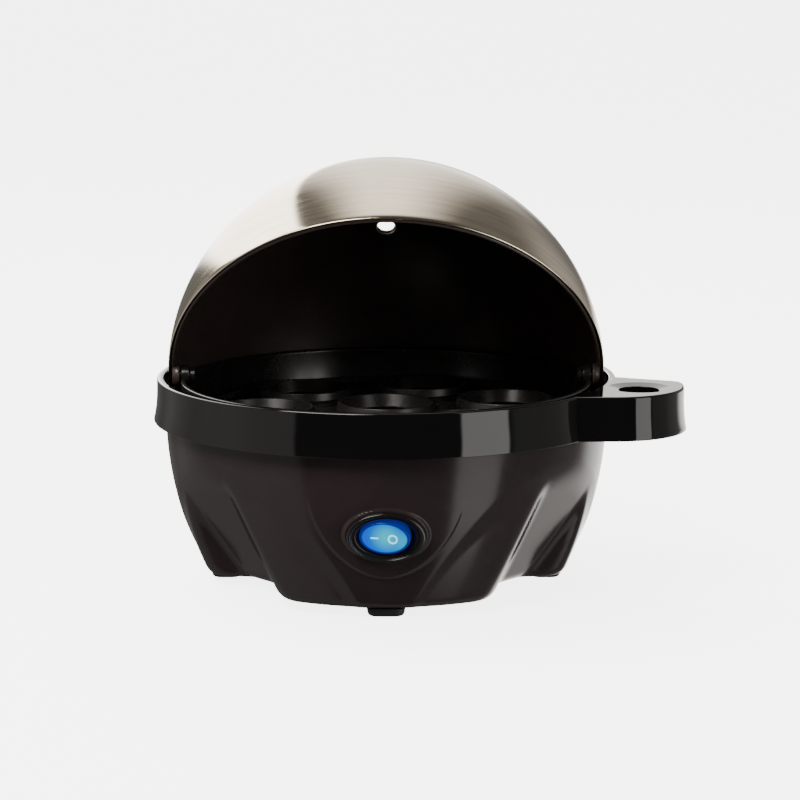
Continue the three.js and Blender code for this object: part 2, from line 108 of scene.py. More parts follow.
BOWL_R = 77.2
BOWL_WALL = 1.8
BOWL_FLOOR = 48.2
BOWL_RIM = 76
BOWL_HOLE_R = 38
PIVOT_BOSS = (73.9, 76.9)
PILLAR_FOOT = 6
PLATE_BOTTOM = 43
PLATE_DISH_R = 36.5
PLATE_R = 47
STUD_FOOT = 30
STUD_Y = 17
TRAY_R = 68
TRAY_BOTTOM = 62
TRAY_THICK = 1.8
TRAY_LEG_RING_R = 63
TRAY_LEG_FOOT = 48.5
SEAT_TOP = 67
SEAT_R = 16.5
SEAT_RING_R = 46.5
SEAT_START = -17

SWITCH_Z = 33
SWITCH_OVAL = 0.675
SWITCH_TILT = 8 * DEG
SWITCH_AXIS = -1.5
BEZEL_R = 14
ROCKER_R = 9.2
ROCKER_FACE = 2.6
LAMP_SPOT = (0.6, 0.4, 2.4)
BOSS = {"proud": 0.35, "edge": (BEZEL_R + 0.1, BEZEL_R + 1.6)}
POCKET = {"deep": 9, "edge": (11.2, 12)}

FINE = 224  # facets round a casing
OVAL_SIDES = 160  # facets round the switch


# Shapes


def smoothstep(value, low, high):
    """0 below low, 1 above high, and 3t^2 - 2t^3 between them, where t is the share of the way."""
    t = np.clip((value - low) / (high - low), 0, 1)
    return t * t * (3 - 2 * t)


def rounded(corners, steps=5, hold=0.12):
    """The closed outline through (a, b, radius) corners. Each corner is an arc of its radius between its
    tangent points, with a point hold outside each end of the arc, so that the flats beside it shade flat. A
    corner of no radius, or where the outline runs nearly straight on, is a single point."""
    spots = np.array([corner[:2] for corner in corners], float)
    outline = []
    for i, (_, _, radius) in enumerate(corners):
        here = spots[i]
        back, on = spots[i - 1] - here, spots[(i + 1) % len(spots)] - here
        back, on = back / np.linalg.norm(back), on / np.linalg.norm(on)
        half = np.arccos(np.clip(back @ on, -1, 1)) / 2
        if radius == 0 or half > 89 * DEG:
            outline.append(here[None])
            continue
        reach = radius / np.tan(half)
        centre = here + (back + on) / np.linalg.norm(back + on) * radius / np.sin(half)
        turn = np.pi - 2 * half
        t = np.linspace(0, 1, steps + 1)[:, None]
        first, last = here + back * reach - centre, here + on * reach - centre
        arc = centre + (np.sin((1 - t) * turn) * first + np.sin(t * turn) * last) / np.sin(turn)
        outline += [(here + back * (reach + hold))[None], arc, (here + on * (reach + hold))[None]]
    return np.concatenate(outline)


def turned(profile, sides=FINE):
    """A profile of [radius, height] turned about Z: row i is the circle of profile point i, which starts at
    the front and runs round by +X."""
    phi = np.arange(sides) / sides * 2 * np.pi
    radius, height = np.asarray(profile, float).T[:, :, None]
    rows = [radius * np.sin(phi), -radius * np.cos(phi), height + 0 * phi]
    return np.stack(rows, axis=-1)


def ring_arc(radius, start, end, steps):
    """Points of a circle about the origin between two angles from the height axis, as [radius, height]."""
    angle = np.linspace(start, end, steps + 1)
    return np.column_stack([radius * np.sin(angle), radius * np.cos(angle)])


def circle(centre, radius, sides=48):
    """A circle of [x, y] that runs anticlockwise."""
    angle = np.arange(sides) / sides * 2 * np.pi
    return np.asarray(centre) + radius * np.column_stack([np.cos(angle), np.sin(angle)])


def stacked(rings, right, back, centre=(0, 0)):
    """Rings about an upright axis: those of ring (reach, z) are at reach times the directions (right,
    back)."""
    across, along = centre
    rows = [[across + reach * right, along + reach * back, np.full_like(right, z)] for reach, z in rings]
    return np.array([np.column_stack(row) for row in rows])


def oblongs(levels, bend_x, bend_y, sides):
    """A stack of rounded oblongs of half length a and half width b at height z, for each (a, b, z): their
    points are at a |cos t|^bend_x and b |sin t|^bend_y, with the signs of the cosine and the sine."""
    angle = np.arange(sides) / sides * 2 * np.pi
    c, s = np.cos(angle), np.sin(angle)
    x, y = np.sign(c) * np.abs(c) ** bend_x, np.sign(s) * np.abs(s) ** bend_y
    return np.array([np.column_stack([a * x, b * y, np.full_like(x, z)]) for a, b, z in levels])


def shifted(points, x=0.0, y=0.0, z=0.0):
    """Points moved by x, y and z."""
    return points + np.array([x, y, z])


def along_x(points, side, height=AXIS_Z):
    """Points about Z laid along X at a height: their own height runs out to the left (-1) or right (1)."""
    return np.stack([side * points[..., 2], side * points[..., 0], points[..., 1] + height], axis=-1)


def on_lid(points):
    """Points about the lid's pole, +Z, turned back with the lid about its left-right axis."""
    x, y, z = np.moveaxis(points, -1, 0)
    c, s = np.cos(LID_OPEN), np.sin(LID_OPEN)
    return np.stack([x, y * c + z * s, AXIS_Z - y * s + z * c], axis=-1)


def grid_faces(rows, cols, ring):
    """Quads between neighbouring rows and columns. Columns close on themselves, and so do a ring's rows."""
    i = np.arange(rows if ring else rows - 1)[:, None]
    j = np.arange(cols)[None]
    right, up = (j + 1) % cols, (i + 1) % rows
    corners = [i * cols + j, i * cols + right, up * cols + right, up * cols + j]
    return np.stack(np.broadcast_arrays(*corners), axis=-1).reshape(-1, 4)


class Skin:
    """Closed surfaces gathered into one mesh: grids of points, and plates cut from triangles."""

    def __init__(self):
        self.points, self.faces, self.count = [], [], 0

    def add(self, points, faces):
        self.points.append(np.asarray(points, float).reshape(-1, 3))
        self.faces.append(np.asarray(faces) + self.count)
        self.count += len(self.points[-1])
        return self

    def grid(self, points, ring=True):
        rows, cols = points.shape[:2]
        return self.add(points, grid_faces(rows, cols, ring))

    def plate(self, outline, holes, low, high):
        """A flat plate with round holes: its outline and each hole are loops of [x, y] that run
        anticlockwise. Two sheets of triangles, without those whose middle is in a hole, and a wall round
        each loop."""
        loops = [outline, *holes]
        starts = np.cumsum([0] + [len(loop) for loop in loops])
        edges = []
        for start, loop in zip(starts, loops):
            k = np.arange(len(loop))
            edges.append(np.column_stack([start + k, start + (k + 1) % len(loop)]))
        wall = np.concatenate(edges)
        spots = [Vector(spot) for spot in np.concatenate(loops)]
        pairs = [tuple(edge) for edge in wall.tolist()]
        found = delaunay_2d_cdt(spots, pairs, [list(range(len(outline)))], 1, 1e-6)
        sheet = np.array([spot[:] for spot in found[0]])
        triangles = np.array([face for face in found[2] if len(face) == 3])
        middle = sheet[triangles].mean(axis=1)
        keep = np.ones(len(triangles), bool)
        for hole in holes:
            centre = hole.mean(axis=0)
            keep &= np.hypot(*(middle - centre).T) > np.hypot(*(hole[0] - centre)) * 0.999
        triangles = triangles[keep]
        both = np.concatenate([np.column_stack([sheet, np.full(len(sheet), z)]) for z in (low, high)])
        self.add(both, np.concatenate([triangles[:, ::-1], triangles + len(sheet)]))
        self.faces.append(np.column_stack([wall, wall[:, ::-1] + len(sheet)]) + self.count - 2 * len(sheet))
        return self


def made(name, skin, body, material, stands_for=(), spread=None):
    """One finished piece: the skin's points in metres in the row frame, doubles merged, faces outwards and
    smooth. spread is an optional (name, values) vector attribute, one value for each point."""
    points = np.concatenate(skin.points)
    mesh = bpy.data.meshes.new(name)
    faces = [face for block in skin.faces for face in block.tolist()]
    mesh.from_pydata(((points * MM) + [AXIS_X, 0, 0]).tolist(), [], faces)
    if spread:
        attribute = mesh.attributes.new(spread[0], "FLOAT_VECTOR", "POINT")
        attribute.data.foreach_set("vector", np.asarray(spread[1], np.float32).ravel())
    solid = bmesh.new()
    solid.from_mesh(mesh)
    bmesh.ops.remove_doubles(solid, verts=solid.verts, dist=1e-6)
    bmesh.ops.recalc_face_normals(solid, faces=solid.faces)
    for face in solid.faces:
        face.smooth = True
    solid.to_mesh(mesh)
    solid.free()
    mesh.materials.append(material)
    piece = bpy.data.objects.new(name, mesh)
    bpy.context.scene.collection.objects.link(piece)
    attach(piece, body)
    if stands_for:
        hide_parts(*stands_for)
    return piece


# Finishes


def add(tree, kind, inputs=(), **settings):
    """A new node with its settings, and its inputs as a dict of values and sockets."""
    new = tree.nodes.new(kind)
    for key, value in settings.items():
        setattr(new, key, value)
    for key, value in dict(inputs).items():
        if isinstance(value, bpy.types.NodeSocket):
            tree.links.new(value, new.inputs[key])
        else:
            new.inputs[key].default_value = value
    return new


def mapped(tree, value, start, end, low=0.0, high=1.0, shape="LINEAR"):
    """A value that runs from start to end as one that runs from low to high, and stops at both."""
    limits = {"Value": value, "From Min": start, "From Max": end, "To Min": low, "To Max": high}
    return add(tree, "ShaderNodeMapRange", limits, interpolation_type=shape).outputs["Result"]


def noise(tree, place, scale, detail, roughness=0.5):
    """Noise between 0 and 1."""
    inputs = {"Vector": place, "Scale": scale, "Detail": detail, "Roughness": roughness}
    return add(tree, "ShaderNodeTexNoise", inputs).outputs["Fac"]


def mixed(tree, share, first, second):
    """The first colour where share is 0, and the second where it is 1."""
    mix = add(tree, "ShaderNodeMix", {"Factor": share, "A": first, "B": second}, data_type="RGBA")
    return mix.outputs["Result"]


def effect(name, inputs):
    """A shader node group with named inputs, given as their default values, and None for a vector. It puts
    out a colour, a roughness and a normal."""
    group = bpy.data.node_groups.new(name, "ShaderNodeTree")
    for label, value in inputs.items():
        kind = "Vector" if value is None else "Float" if isinstance(value, float) else "Color"
        socket = group.interface.new_socket(name=label, in_out="INPUT", socket_type=f"NodeSocket{kind}")
        if value is not None:
            socket.default_value = value
    for label, kind in (("Colour", "Color"), ("Roughness", "Float"), ("Normal", "Vector")):
        group.interface.new_socket(name=label, in_out="OUTPUT", socket_type=f"NodeSocket{kind}")
    return group, group.nodes.new("NodeGroupInput").outputs


def put_out(group, colour, tone, roughness, height, depth, distance):
    """Ends an effect: the colour scaled by tone, the roughness, and a normal bumped by a height."""
    tint = add(group, "ShaderNodeVectorMath", {0: colour, "Scale": tone}, operation="SCALE")
    bump = add(group, "ShaderNodeBump", {"Height": height, "Strength": depth, "Distance": distance})
    ends = {"Colour": tint.outputs["Vector"], "Roughness": roughness, "Normal": bump.outputs["Normal"]}
    add(group, "NodeGroupOutput", ends)


def moulded_skin():
    """Moulded plastic: a faint grain and, over it, sparse soft patches where hands and cloths have dulled the
    gloss. The roughness runs between the two given values with the patches."""
    inputs = {
        "Place": None,
        "Grain size": 2500.0,
        "Grain depth": 0.02,
        "Glossy": 0.08,
        "Dull": 0.16,
        "Colour": (0.02, 0.02, 0.02, 1),
    }
    group, given = effect("moulded_skin", inputs)
    patches = noise(group, given["Place"], 55.0, 5.0, 0.6)
    grain = noise(group, given["Place"], given["Grain size"], 2.0)
    dulled = mapped(group, patches, 0.42, 0.68, given["Glossy"], given["Dull"])
    tone = mapped(group, patches, 0.3, 0.7, 0.92, 1.1)
    put_out(group, given["Colour"], tone, dulled, grain, given["Grain depth"], 0.0002)
    return group


def brushed_lines():
    """Brushed metal: noise drawn out along the brushing, fine and coarse together, as colour, roughness and
    relief. Lines runs across the brushing on its Z, and along it on X and Y."""
    inputs = {"Lines": None, "Colour": (0.6, 0.58, 0.55, 1), "Smooth": 0.2, "Rough": 0.34, "Depth": 0.1}
    group, given = effect("brushed_lines", inputs)
    lines = given["Lines"]
    fine = noise(group, lines, 1.0, 4.0, 0.75)
    wider = add(group, "ShaderNodeVectorMath", {0: lines, 1: (0.6, 0.6, 0.22)}, operation="MULTIPLY")
    coarse = noise(group, wider.outputs["Vector"], 1.0, 2.0)
    both = add(group, "ShaderNodeMath", {0: fine, 1: coarse}, operation="ADD").outputs["Value"]
    rough = mapped(group, both, 0.75, 1.25, given["Smooth"], given["Rough"])
    tone = mapped(group, both, 0.7, 1.3, 0.86, 1.1)
    put_out(group, given["Colour"], tone, rough, both, given["Depth"], 0.0001)
    return group


MOULDED = moulded_skin()
BRUSHED = brushed_lines()


def blank(name, **shader):
    """A new material with values on its Principled shader's own sockets, its node tree, and the shader."""
    material = bpy.data.materials.new(name)
    material.use_nodes = True
    surface = material.node_tree.nodes["Principled BSDF"]
    for key, value in shader.items():
        surface.inputs[key.replace("_", " ")].default_value = value
    return material, material.node_tree, surface


def dress_shader(tree, surface, group, inputs):
    """The shader's colour, roughness and normal come from a group."""
    look = add(tree, "ShaderNodeGroup", inputs, node_tree=group)
    for source, socket in (("Colour", "Base Color"), ("Roughness", "Roughness"), ("Normal", "Normal")):
        tree.links.new(look.outputs[source], surface.inputs[socket])


def plastic(name, colour, glossy, dull, grain_size=2500.0, grain_depth=0.02, **shader):
    """A moulded plastic on Object coordinates, whose roughness runs from glossy to dull."""
    material, tree, surface = blank(name, **shader)
    inputs = {
        "Place": add(tree, "ShaderNodeTexCoord").outputs["Object"],
        "Grain size": grain_size,
        "Grain depth": grain_depth,
        "Glossy": glossy,
        "Dull": dull,
        "Colour": (*colour, 1),
    }
    dress_shader(tree, surface, MOULDED, inputs)
    return material


def metal(name, colour, smooth, rough, lines, brush=None, depth=0.1, **shader):
    """A metal whose noise follows the brush attribute, or Object coordinates, at the scale lines."""
    material, tree, surface = blank(name, Metallic=1.0, **shader)
    if brush:
        way = add(tree, "ShaderNodeAttribute", attribute_name=brush).outputs["Vector"]
    else:
        way = add(tree, "ShaderNodeTexCoord").outputs["Object"]
    drawn = add(tree, "ShaderNodeVectorMath", {0: way, 1: lines}, operation="MULTIPLY").outputs["Vector"]
    inputs = {"Lines": drawn, "Colour": (*colour, 1), "Smooth": smooth, "Rough": rough, "Depth": depth}
    dress_shader(tree, surface, BRUSHED, inputs)
    return material


def brushed_dome_steel():
    """Steel brushed round the dome. Its gloss is drawn out across the brushing, by a tangent from the UV
    map."""
    lines = (5.0, 5.0, 170.0)
    gloss = {"Anisotropic": 0.75, "Anisotropic_Rotation": 0.25}
    steel = metal("brushed_dome_steel", (0.74, 0.65, 0.515), 0.1, 0.16, lines, "brush", 0.07, **gloss)
    tree = steel.node_tree
    way = add(tree, "ShaderNodeTangent", direction_type="UV_MAP", uv_map="around").outputs["Tangent"]
    tree.links.new(way, tree.nodes["Principled BSDF"].inputs["Tangent"])
    return steel


gloss_black = plastic("gloss_black_plastic", (0.003, 0.0027, 0.003), 0.03, 0.06, grain_depth=0.004)
casing_black = plastic("casing_black_plastic", (0.029, 0.0208, 0.022), 0.14, 0.2, Specular_IOR_Level=0.26)
bezel_black = plastic("bezel_black_plastic", (0.0085, 0.0075, 0.007), 0.12, 0.2)
liner_black = plastic("lid_lining_plastic", (0.05, 0.035, 0.031), 0.3, 0.4)
bowl_black = plastic("bowl_plastic", (0.012, 0.011, 0.011), 0.2, 0.32)
tray_black = plastic("tray_plastic", (0.018, 0.0165, 0.016), 0.26, 0.4, grain_depth=0.05)
foot_rubber = plastic("foot_rubber", (0.007, 0.007, 0.007), 0.5, 0.7, 1400.0, 0.2)
silicone = plastic("seal_silicone", (0.2, 0.03, 0.02), 0.4, 0.55)
nylon = plastic("nylon", (0.55, 0.52, 0.45), 0.4, 0.5)
dome_steel = brushed_dome_steel()
plate_steel = metal("plate_steel", (0.62, 0.62, 0.6), 0.22, 0.36, (4.0, 4.0, 900.0), "brush", 0.03)
bright_steel = metal("zinc_steel", (0.6, 0.6, 0.6), 0.25, 0.4, (900.0, 900.0, 900.0))
brass = metal("brass", (0.75, 0.55, 0.25), 0.25, 0.4, (900.0, 900.0, 900.0))


def brush_round(points, across):
    """The brush attribute: each point's direction round the Z axis on X and Y, and its place across on Z."""
    angle = np.arctan2(points[:, 1], points[:, 0])
    return "brush", np.column_stack([np.cos(angle), np.sin(angle), across])


# Lid


def dome_profile(outer, inner, hole, edge, steps=72):
    """A hemispherical sheet as a closed profile: up the outside from the rim to the hole, and back down the
    inside, with half-round edges at the rim and at the hole."""
    middle, half = (outer + inner) / 2, (outer - inner) / 2
    at_hole = np.arcsin((hole + half) / middle)
    at_rim = np.pi / 2 - edge / middle
    bead = np.linspace(0, np.pi, 7)[1:-1]

    def half_round(angle, sign):
        radius = middle + half * np.cos(bead)
        along = angle + sign * half * np.sin(bead) / middle
        return np.column_stack([radius * np.sin(along), radius * np.cos(along)])

    up = ring_arc(outer, at_rim, at_hole, steps)
    down = ring_arc(inner, at_hole, at_rim, steps)
    return np.concatenate([up, half_round(at_hole, -1), down, half_round(at_rim, 1)[::-1]])


def lay_round(dome):
    """A UV map whose U runs round the pole and whose V runs down from it, so that tangents follow the
    brushing. The points are first turned back to the pole, and a face that crosses the seam stays on one
    side of it."""
    mesh = dome.data
    places = np.empty(len(mesh.vertices) * 3, np.float32)
    mesh.vertices.foreach_get("co", places)
    x, y, z = (places.reshape(-1, 3) - [AXIS_X, 0, AXIS_Z * MM]).T
    c, s = np.cos(LID_OPEN), np.sin(LID_OPEN)
    y, z = y * c - z * s, y * s + z * c
    corners = np.empty(len(mesh.loops), np.int32)
    mesh.loops.foreach_get("vertex_index", corners)
    turn = (np.arctan2(y, x) / (2 * np.pi))[corners].reshape(-1, 4)
    turn -= np.round(turn - turn[:, :1])
    down = (np.arctan2(np.hypot(x, y), z) / np.pi)[corners]
    layer = mesh.uv_layers.new(name="around")
    layer.uv.foreach_set("vector", np.column_stack([turn.ravel(), down]).astype(np.float32).ravel())


def lid_dome():
    """The steel dome. Its brush attribute follows circles about the pole, with the polar angle across
    them."""
    local = turned(dome_profile(LID_R, LID_R - STEEL, STEAM_HOLE_R, 0.4), 256)
    points = local.reshape(-1, 3)
    brush = brush_round(points, np.arctan2(np.hypot(points[:, 0], points[:, 1]), points[:, 2]))
    skin = Skin().grid(on_lid(local))
    dome = made("lid_dome_sheet", skin, "lid", dome_steel, ["lid_dome"], brush)
    lay_round(dome)
    return dome


def lid_liner():
    """The lining: a sheet inside the dome's, and at each side a turned lug with a bore for the pivot pin."""
    skin = Skin().grid(on_lid(turned(dome_profile(LINER_R, LINER_R - LINER, STEAM_HOLE_R + 0.3, 0.75), 256)))
    near, far = BOWL_R + 0.4, LINER_R - 0.6
    lug = rounded([(PIN_BORE_R, near, 0.2), (HUB_R, near, 0.5), (HUB_R, far, 0), (PIN_BORE_R, far, 0)])
    for side in (-1, 1):
        skin.grid(along_x(turned(lug, 64), side))
    return made("lid_lining", skin, "lid", liner_black, ["lid_liner"])


# Upper casing


def band_flare(z, most):
    """How far the band has flared at a height: most times the cube of the share of the way down."""
    return most * ((RIM_TOP - z) / (RIM_TOP - BAND_BOTTOM)) ** 3


def rim_band():
    """The band, turned: a flared outside, its lower lip, a groove underneath, the inner wall and the rim."""
    heights = np.linspace(RIM_TOP - 1.5, BAND_BOTTOM + 0.6, 26)
    outer = np.column_stack([RIM_R + band_flare(heights, BAND_FLARE), heights])
    lip = RIM_R + BAND_FLARE
    rest = rounded(
        [
            (outer[-1, 0], outer[-1, 1], 0),
            (lip, BAND_BOTTOM, 0.3),
            (lip - WALL, BAND_BOTTOM, 0.3),
            (RIM_R - WALL + 0.3, RIM_TOP - 3, 0.3),
            (RIM_INNER + 1.4, RIM_TOP - 3, 0),
            (RIM_INNER + 1.4, BAND_BOTTOM + 3, 0.2),
            (RIM_INNER, BAND_BOTTOM + 3, 0.2),
            (RIM_INNER, RIM_TOP, 0.7),
            (RIM_R, RIM_TOP, 0.8),
            (outer[0, 0], outer[0, 1], 0),
        ]
    )
    return turned(np.concatenate([outer, rest[1:-1]]), 320)


def ear_reach(offset, angles):
    """The distance from the well's centre to the ear's outline, moved out by offset, in each direction: a
    straight front, a round end, a small round back corner, a slanting back edge, and the rim's own circle as
    its root."""
    turn = np.linspace(-np.pi / 2, 0, 60)
    corner = np.linspace(0, np.pi / 2 - EAR_SLANT, 24)
    round_end = EAR_TURN + (EAR_TURN_R + offset) * np.column_stack([np.cos(turn), np.sin(turn)])
    back = EAR_BACK + (EAR_BACK_R + offset) * np.column_stack([np.cos(corner), np.sin(corner)])
    lean = np.array([-np.cos(EAR_SLANT), np.sin(EAR_SLANT)])
    edge = back[-1] + np.linspace(0, 40, 160)[1:, None] * lean
    edge = edge[np.hypot(*edge.T) > EAR_ROOT_R]
    front = np.column_stack([np.linspace(60, EAR_TURN[0], 60), np.full(60, EAR_FRONT - offset)])[:-1]
    front = front[np.hypot(*front.T) > EAR_ROOT_R]
    first, last = np.arctan2(edge[-1][1], edge[-1][0]), np.arctan2(front[0][1], front[0][0])
    sweep = np.linspace(first, last, 120)[1:-1]
    root = EAR_ROOT_R * np.column_stack([np.cos(sweep), np.sin(sweep)])
    loop = np.concatenate([front, round_end, back, edge, root]) - WELL
    at = np.arctan2(loop[:, 1], loop[:, 0])
    order = np.argsort(at)
    return np.interp(angles, at[order], np.hypot(*loop.T)[order], period=2 * np.pi)


def ear():
    """The ear as rings about its well: out of the hole's floor, over the dish and the flat top, down the
    flared wall, and back underneath to the axis of the well. Its top is a hair over the rim's, where they
    overlap."""
    angles = np.arange(400) / 400 * 2 * np.pi
    top = RIM_TOP + 0.02
    floor, dish = top - WELL_DEPTH, top - WELL_DISH_DEPTH
    cup = rounded(
        [
            (0, floor, 0),
            (WELL_HOLE_R, floor, 0.8),
            (WELL_HOLE_R, dish, 0.2),
            (WELL_DISH_R, top, 0.8),
            (WELL_DISH_R + 2, top, 0),
            (WELL_DISH_R + 2, top + 20, 0),
            (0, top + 20, 0),
        ]
    )[:-3]
    lip = WELL_DISH_R + 0.4
    flat_end = ear_reach(-EAR_EDGE, angles)
    rings = [*cup[:-1], (np.minimum(lip, flat_end - 0.02), top)]
    for share in (0.3, 0.6, 0.97):
        rings.append((lip * (1 - share) + flat_end * share, top))
    for a in np.linspace(0, np.pi / 2, 8):
        rings.append((ear_reach(-EAR_EDGE * (1 - np.sin(a)), angles), top - EAR_EDGE * (1 - np.cos(a))))
    for z in np.linspace(top - EAR_EDGE - 0.3, BAND_BOTTOM + 0.3, 18):
        rings.append((ear_reach(band_flare(z, EAR_FLARE), angles), z))
    for inset, z in ((0.25, BAND_BOTTOM), (WALL - 0.3, BAND_BOTTOM), (WALL, BAND_BOTTOM + 0.4)):
        rings.append((ear_reach(EAR_FLARE - inset, angles), z))
    roof = top - EAR_ROOF
    narrow = ear_reach(-WALL - 0.6, angles)
    rings += [(narrow, roof), (np.minimum(WELL_DISH_R + 1.2, narrow - 0.1), roof)]
    tube = WELL_HOLE_R + WALL
    for reach, z in ((tube, dish - 2), (tube, floor - WALL), (0, floor - WALL)):
        rings.append((np.minimum(reach, narrow - 0.2), z))
    return stacked(rings, np.cos(angles), np.sin(angles), WELL)


def upper_casing():
    """The band and the ear: two closed surfaces that run into each other."""
    skin = Skin().grid(rim_band()).grid(ear(), ring=False)
    return made("rim_band_and_ear", skin, "base", gloss_black, ["upper_casing"])


# Lower casing


def petal_radius(z):
    """The petals' own radius: it falls away from the band as a power of the share of the way down."""
    drop = np.clip((BAND_BOTTOM - z) / (BAND_BOTTOM - BASE_BOTTOM), 0, 1)
    return BODY_TOP_R - (BODY_TOP_R - BODY_FOOT_R) * drop**BODY_POWER


# The wall's slope at the switch: how much its radius grows over a millimetre of height.
SWITCH_LEAN = petal_radius(SWITCH_Z + 0.5) - petal_radius(SWITCH_Z - 0.5)


def blended(a, b, width):
    """The lower of a and b, or the higher for a negative width, with the corner between them rounded off."""
    share = np.clip(0.5 + (b - a) / (2 * width), 0, 1)
    return b + (a - b) * share - width * share * (1 - share)


def flank_radius(petal, rise, along, aside):
    """A petal's straight flank: half its width, which grows with height, at a set distance from the
    middle."""
    half = petal["half"] + petal["lean"] * rise + FLANK_SLANT * petal["at"]
    return half / (aside + FLANK_SLANT * along)


def wall_radius(phi, z):
    """Four petals, each cut off by two straight flanks, and between each two a flat flute that slopes
    outwards as it rises and dies away in the petals' own flare. The rounding of a flank's corner fades with
    height."""
    fold = np.arctan2(np.abs(np.sin(phi)), np.abs(np.cos(phi)))
    out, across = np.cos(fold), np.sin(fold)
    rise = z - BASE_BOTTOM
    petal = petal_radius(z) + 0 * phi
    flute = (FLUTE_FOOT_R + FLUTE_SLOPE * rise) / np.cos(fold - FLUTE_TURN)
    extra = FLANK_ROUND["foot"] - FLANK_ROUND["high"]
    edge = FLANK_ROUND["high"] + extra * np.exp(-rise / FLANK_ROUND["fade"])
    front = blended(petal, flank_radius(FRONT_PETAL, rise, out, across), edge)
    side = blended(petal, flank_radius(SIDE_PETAL, rise, across, out), edge)
    return blended(petal, blended(flute, np.maximum(front, side), -CREASE_ROUND), FLUTE_ROUND)


def switch_wall(phi, z):
    """The wall at the front: the petal, a pad in the shape of a U that swells towards its lower edge, a flat
    oval boss under the bezel, and a pocket behind the switch."""
    radius = wall_radius(phi, z)
    x = radius * np.sin(phi)
    front = np.cos(phi) > 0.5
    power = PAD["power"]
    below = np.clip(PAD["top"] - z, 0, None) / PAD["drop"]
    share = ((np.abs(x) / PAD["half_width"]) ** power + below**power) ** (1 / power)
    inside = smoothstep((1 - share) * PAD["half_width"], 0, PAD["edge"])
    swell = np.clip((PAD_SWELL["top"] - z) / PAD_SWELL["drop"], 0, 1) ** PAD_SWELL["power"]
    radius = radius + np.where(front, inside * (PAD["proud"] * swell), 0)
    reach = np.hypot(x, (z - SWITCH_Z) * np.hypot(1, SWITCH_LEAN) / SWITCH_OVAL)
    boss = (petal_radius(SWITCH_Z) + BOSS["proud"] + SWITCH_LEAN * (z - SWITCH_Z)) / np.cos(phi)
    on_boss = np.where(front, 1 - smoothstep(reach, *BOSS["edge"]), 0)
    radius = radius * (1 - on_boss) + np.maximum(boss, radius) * on_boss
    return radius - POCKET["deep"] * np.where(front, 1 - smoothstep(reach, *POCKET["edge"]), 0)


def at_gland(points):
    """Points about Z laid at the back: their height runs back from the face of the gland's boss."""
    x, y, z = np.moveaxis(points, -1, 0)
    return np.stack([x, GLAND_Y + z, GLAND_Z - y], axis=-1)


def lower_casing():
    """Rings of the wall, finer at the front: down the outside, round the bottom edge, up the inside, and over
    the tongue that stands in the band. A turned boss at the back takes the cord's gland."""
    front = 31
    near = np.linspace(-front, front, 240, endpoint=False)
    rest = np.linspace(front, 360 - front, 300, endpoint=False)
    phi = np.concatenate([near, rest]) * DEG
    high, inset = SOLE_EDGE["high"], SOLE_EDGE["inset"]
    ledge = 1.4
    rings = [(switch_wall(phi, z), z) for z in np.linspace(BAND_BOTTOM, BASE_BOTTOM + high, 108)]
    for a in np.linspace(0, np.pi / 2, 12)[1:]:
        z = BASE_BOTTOM + high * (1 - np.sin(a))
        rings.append((switch_wall(phi, z) - inset * (1 - np.cos(a)), z))
    rings.append((wall_radius(phi, BASE_BOTTOM) - WALL - 2.9, BASE_BOTTOM))
    for z in np.linspace(BASE_BOTTOM + 2, BAND_BOTTOM, 14):
        rings.append((wall_radius(phi, z) - WALL - ledge * (z < BASE_BOTTOM + 3), z))
    rings += [
        (BODY_TOP_R - WALL + 0.3, BAND_BOTTOM + 1),
        (LID_R + 0.3, TONGUE_TOP),
        (TONGUE_R, TONGUE_TOP),
        (TONGUE_R, BAND_BOTTOM + 1),
    ]
    boss = rounded([(5.3, -9, 0), (8.4, -9, 0), (8.4, 0, 0.8), (5.3, 0, 0.3)])
    skin = Skin().grid(stacked(rings, np.sin(phi), -np.cos(phi))).grid(at_gland(turned(boss, 72)))
    return made("petal_casing", skin, "base", casing_black, ["lower_casing"])


def cord_gland():
    """The cord's bush, turned: a lip inside the wall, a neck through it, and a tapered nose outside."""
    profile = rounded(
        [
            (3.8, -9.4, 0.3),
            (6.6, -9.4, 0.3),
            (6.6, -7.6, 0.2),
            (5, -7.6, 0),
            (5, 0.3, 0),
            (7.4, 0.3, 0.3),
            (7, 2, 0.5),
            (5.2, 5.4, 0.5),
            (3.8, 5.4, 0.4),
        ]
    )
    skin = Skin().grid(at_gland(turned(profile, 72)))
    return made("cord_bush", skin, "base", foot_rubber, ["cord_gland"])


def base_plate():
    """The cover under the casing: a plate in the casing's own outline with a sunk collar at each screw."""
    phi = np.arange(288) / 288 * 2 * np.pi
    reach = wall_radius(phi, BASE_BOTTOM) - COVER_INSET
    outline = np.column_stack([reach * np.sin(phi), -reach * np.cos(phi)])
    holes = [circle(place, 3.7) for place in SCREW_PLACES]
    skin = Skin().plate(outline, holes, BASE_BOTTOM, BASE_BOTTOM + COVER)
    seat = rounded([(1.8, 1.3, 0.1), (3.8, 1.3, 0), (3.8, COVER, 0), (1.8, COVER, 0)])
    for x, y in SCREW_PLACES:
        skin.grid(shifted(turned(seat, 48), x, y, BASE_BOTTOM))
    return made("bottom_cover", skin, "base", casing_black, ["base_plate"])


